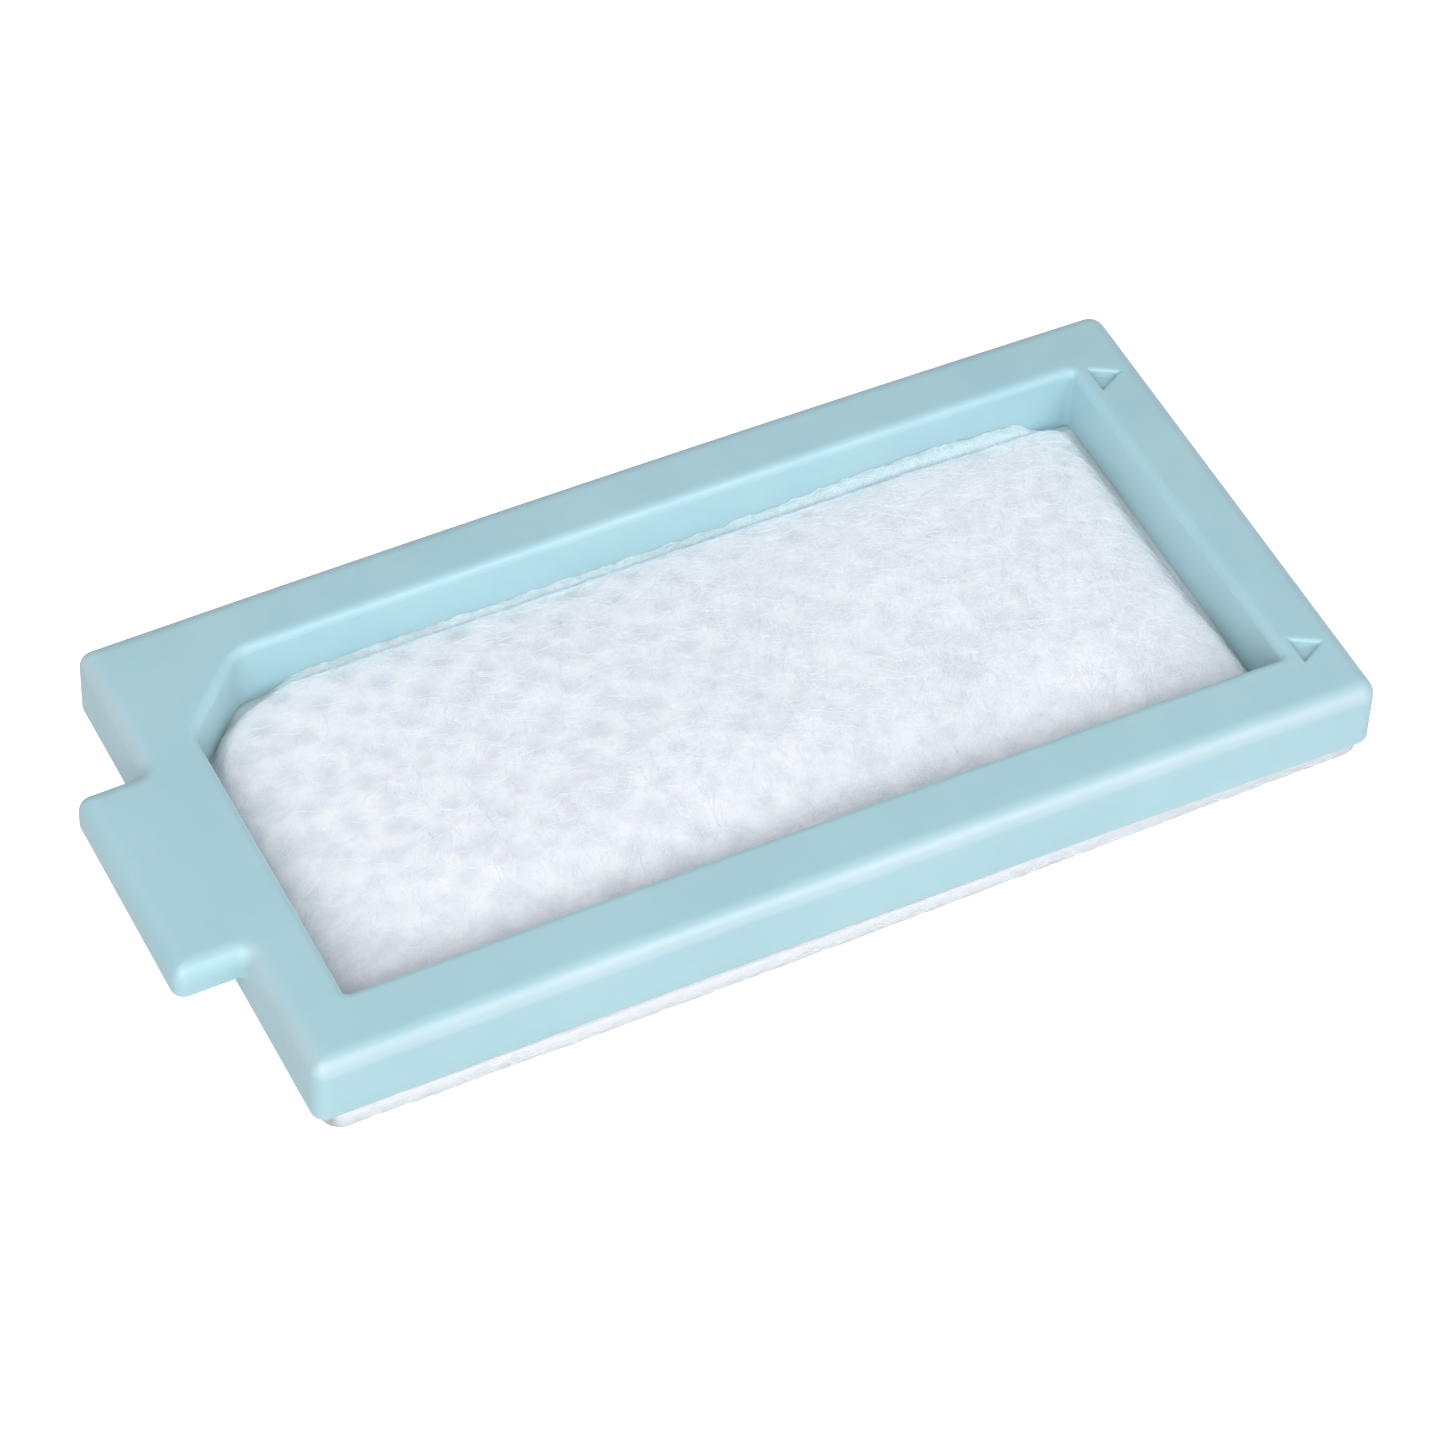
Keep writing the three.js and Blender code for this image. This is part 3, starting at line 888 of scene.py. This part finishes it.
def frame_material():
    """Pale aqua elastomer with a satin skin, and a painted highlight: its colour is a little paler and
    less blue on its outer rounded edges.
    """
    m = Nodes("frame_elastomer_aqua")
    mottle = m.noise(260, 3, 0.5)
    broad = m.noise(70, 2, 0.5)
    base = m.ramp(mottle, 0.35, 0.68, (0.372, 0.572, 0.606), (0.396, 0.594, 0.628))
    deeper = m.ramp(broad, 0.3, 0.7, (0.955, 0.975, 0.985), WHITE)
    base = m.mix(1.0, base, deeper, "MULTIPLY")
    # Painted highlight: the colour is made paler and less blue on the outer rounded top edges.
    painted_edge_highlight = m.mix(m.attribute("rounded"), WHITE, (1.22, 1.005, 0.985))
    m.link(m.mix(1.0, base, painted_edge_highlight, "MULTIPLY"), m.shader.inputs["Base Color"])
    satin = m.ramp(m.noise(900, 2, 0.5), 0.3, 0.7, (0.40,) * 3, (0.47,) * 3)
    m.link(satin, m.shader.inputs["Roughness"])
    fine = m.bump(m.noise(5200, 2, 0.6), 0.22, 0.00002)
    m.link(m.bump(m.noise(700, 2, 0.5), 0.12, 0.00008, fine), m.shader.inputs["Normal"])
    m.set(Subsurface_Weight=0.35, Subsurface_Scale=0.0012, Subsurface_Radius=(0.7, 1.0, 1.1))
    m.set(Sheen_Weight=0.10, Sheen_Roughness=0.5, Coat_Weight=0.5, Coat_Roughness=0.38, IOR=1.5)
    return m.material


def felt_material(name, shade, tint, lift=0.0):
    """White fibre felt: strokes of many fine fibres in the bump, a soft sheen, greyer bonded points, and
    painted light and shade: painted shade in the crease, a painted shadow along the bottom edge, painted
    light near the walls and on the cut edge, and a painted aqua shade beside the walls.
    """
    m = Nodes(name)
    lumps = m.noise(900, 4, 0.65)
    strokes = None
    for k, turn in enumerate((0.4, -0.55, 1.25, 2.1, 0.9, -1.1)):
        one = m.noise(1.0, 2, 0.6, turn, (1100 + 150 * k, 9000, 4000), 0.35)
        strokes = one if strokes is None else m.math("MAXIMUM", strokes, one)
    blots = m.noise(850, 4, 0.62)
    duller = tuple(c * d for c, d in zip(shade, (0.84, 0.835, 0.88)))
    base = m.ramp(blots, 0.36, 0.60, duller, shade)
    clouds = m.ramp(m.noise(430, 3, 0.6), 0.38, 0.62, (0.93, 0.922, 0.942), WHITE)
    base = m.mix(1.0, base, clouds, "MULTIPLY")
    fibre = m.ramp(strokes, 0.60, 0.76, (0.93, 0.935, 0.95), WHITE)
    base = m.mix(1.0, base, fibre, "MULTIPLY")
    # Painted light: whiter felt near the far and right walls and on the cut edge below the frame.
    base = m.mix(m.attribute("painted_light_share"), base, (0.95, 1.0, 1.0))
    # Greyer bonded points in their own colour, plus painted shade in the crease and a painted shadow
    # along the bottom edge.
    base = m.mix(m.attribute("bond_and_painted_shade"), base, tint)
    # Painted shade with aqua light off the frame's walls, on the turned-up edge and beside the walls.
    base = m.mix(m.attribute("painted_wall_bounce_shade"), base, (0.56, 0.78, 0.83))
    m.link(base, m.shader.inputs["Base Color"])
    rough = m.bump(lumps, 0.35, 0.00014)
    facing = m.bump(strokes, 0.45, 0.00008, rough)
    m.link(m.lifted(facing, lift) if lift else facing, m.shader.inputs["Normal"])
    m.set(Subsurface_Weight=0.9, Subsurface_Scale=0.0013, Subsurface_Radius=WHITE)
    m.set(Roughness=0.8, Sheen_Weight=0.7, Sheen_Roughness=0.5, IOR=1.4)
    return m.material


def fibre_material(name, dark, light):
    """Single fibres, each of its own shade between dark and light."""
    m = Nodes(name)
    base = m.ramp(m.attribute("shade"), 0.0, 1.0, dark, light)
    m.link(base, m.shader.inputs["Base Color"])
    m.link(m.lifted(m.bump(m.noise(9000, 2), 0.2, 0.00001), 1.3), m.shader.inputs["Normal"])
    m.set(Roughness=0.36, Sheen_Weight=0.3, IOR=1.5)
    m.set(Subsurface_Weight=0.2, Subsurface_Scale=0.0003)
    return m.material


# ---------------------------------------------------------------- camera, light and floor
CAMERA_PLACE = (-0.09128, -0.17317, 0.22205)
CAMERA_TURN = (41.581, -1.676, -26.330)
CAMERA_LENS, CAMERA_SENSOR = 152.4, 36
CAMERA_SHIFT = (-0.0014, 0.0035)
# The sky's strength from above, and from below in front of the part and behind it.
SKY_ABOVE = 0.485
SKY_BELOW_FRONT, SKY_BELOW_BACK = 0.95, 0.60
COOL_WHITE = (0.965, 1.0, 1.045)
# Each softbox: name, place, size and power.
SOFTBOXES = (
    ("key_softbox", (-0.167, -0.221, 0.216), (0.30, 0.30), 0.96),
    ("strip_softbox", (0.093, -0.225, 0.176), (0.05, 0.20), 0.29),
)
# The floor, in millimetres: half its width, and its height.
FLOOR_HALF, FLOOR_Z = 6000.0, -0.02


def build_camera(scene):
    camera = bpy.data.cameras.new("camera")
    camera.lens, camera.sensor_width = CAMERA_LENS, CAMERA_SENSOR
    camera.clip_start, camera.clip_end = 0.01, 20
    camera.shift_x, camera.shift_y = CAMERA_SHIFT
    seat = bpy.data.objects.new("camera", camera)
    seat.location = CAMERA_PLACE
    seat.rotation_euler = [math.radians(a) for a in CAMERA_TURN]
    scene.collection.objects.link(seat)
    scene.camera = seat


def build_softboxes(scene):
    for name, place, size, power in SOFTBOXES:
        light = bpy.data.lights.new(name, "AREA")
        light.shape, light.size, light.size_y, light.energy = "RECTANGLE", *size, power
        light.color = COOL_WHITE
        lamp = bpy.data.objects.new(name, light)
        lamp.location = place
        lamp.rotation_euler = (-Vector(place)).to_track_quat("-Z", "Y").to_euler()
        scene.collection.objects.link(lamp)


def build_sky(scene):
    """A white sky, dimmer above than below, and dimmer below and behind than in front."""
    world = bpy.data.worlds.new("studio")
    world.use_nodes = True
    tree = world.node_tree
    where = tree.nodes.new("ShaderNodeTexCoord").outputs["Generated"]
    split = tree.nodes.new("ShaderNodeSeparateXYZ")
    tree.links.new(where, split.inputs["Vector"])

    def fade(axis, low, high, start, stop):
        node = tree.nodes.new("ShaderNodeMapRange")
        tree.links.new(split.outputs[axis], node.inputs["Value"])
        ends = (("From Min", low), ("From Max", high), ("To Min", start), ("To Max", stop))
        for socket, value in ends:
            if isinstance(value, float):
                node.inputs[socket].default_value = value
            else:
                tree.links.new(value, node.inputs[socket])
        return node.outputs["Result"]

    below = fade("Y", -1.0, 1.0, SKY_BELOW_FRONT, SKY_BELOW_BACK)
    background = tree.nodes["Background"]
    tree.links.new(fade("Z", -0.15, 0.15, below, SKY_ABOVE), background.inputs["Strength"])
    background.inputs["Color"].default_value = (*COOL_WHITE, 1)
    scene.world = world
    scene.view_settings.view_transform = "Standard"


def build_floor():
    m = Nodes("studio_floor_white")
    base = m.ramp(m.noise(30, 2), 0.3, 0.7, (0.80,) * 3, (0.82,) * 3)
    m.link(base, m.shader.inputs["Base Color"])
    m.set(Roughness=0.9, Emission_Color=(1, 1, 1, 1), Emission_Strength=0.85)
    plan = ((-1, -1), (1, -1), (1, 1), (-1, 1))
    corners = np.array([(FLOOR_HALF * x, FLOOR_HALF * y, FLOOR_Z) for x, y in plan])
    floor = make_object("studio_floor", corners, np.array([[0, 1, 2, 3]]), m.material)
    floor.visible_diffuse = floor.visible_glossy = False


def build_studio():
    scene = bpy.context.scene
    build_camera(scene)
    build_softboxes(scene)
    build_sky(scene)
    build_floor()


build_studio()
felt = felt_material("cover_felt_white", (1.0, 1.0, 0.995), (0.755, 0.79, 0.835), lift=1.0)
back_felt = felt_material("backing_felt_white", (0.94, 0.96, 0.98), (0.80, 0.83, 0.87))
core_felt = felt_material("batt_felt_white", (0.90, 0.93, 0.96), (0.80, 0.83, 0.86))
strand_look = fibre_material("loose_fibre_white", (0.93, 0.95, 0.97), WHITE)
# The fold fibres' darker aqua range is painted shade and aqua light off the far wall; the fibres
# themselves are white.
fold_strand_look = fibre_material("fold_fibre_painted_wall_shade", (0.62, 0.82, 0.87), (0.92, 0.98, 1.0))

moulding = build_frame(frame_material())
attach(moulding, "root")
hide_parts("frame")

cover = build_cover(felt)
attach(cover, "root")
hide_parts("cover_ply")

batt = build_batt(core_felt)
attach(batt, "root")
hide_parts("fibre_batt")

backing = build_backing(back_felt)
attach(backing, "root")
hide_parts("backing_sheet")

fibres = build_cover_fibres(
    "cover_fibres", strand_look, 5200, long=(0.7, 2.6), thick=(0.010, 0.017), lift=(0.0, 0.06), seed=91
)
fuzz = build_cover_fibres(
    "cover_fuzz", strand_look, 5600, long=(0.3, 1.1), thick=STRAND_R, lift=(0.02, 0.10), seed=95
)
for loose, finish in (
    (fibres, "cover_nonwoven"),
    (fuzz, "cover_nonwoven"),
    (build_fold_fibres(fold_strand_look), "cover_nonwoven"),
    (build_rim_fibres(strand_look), "backing_nonwoven"),
):
    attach(loose, "root")
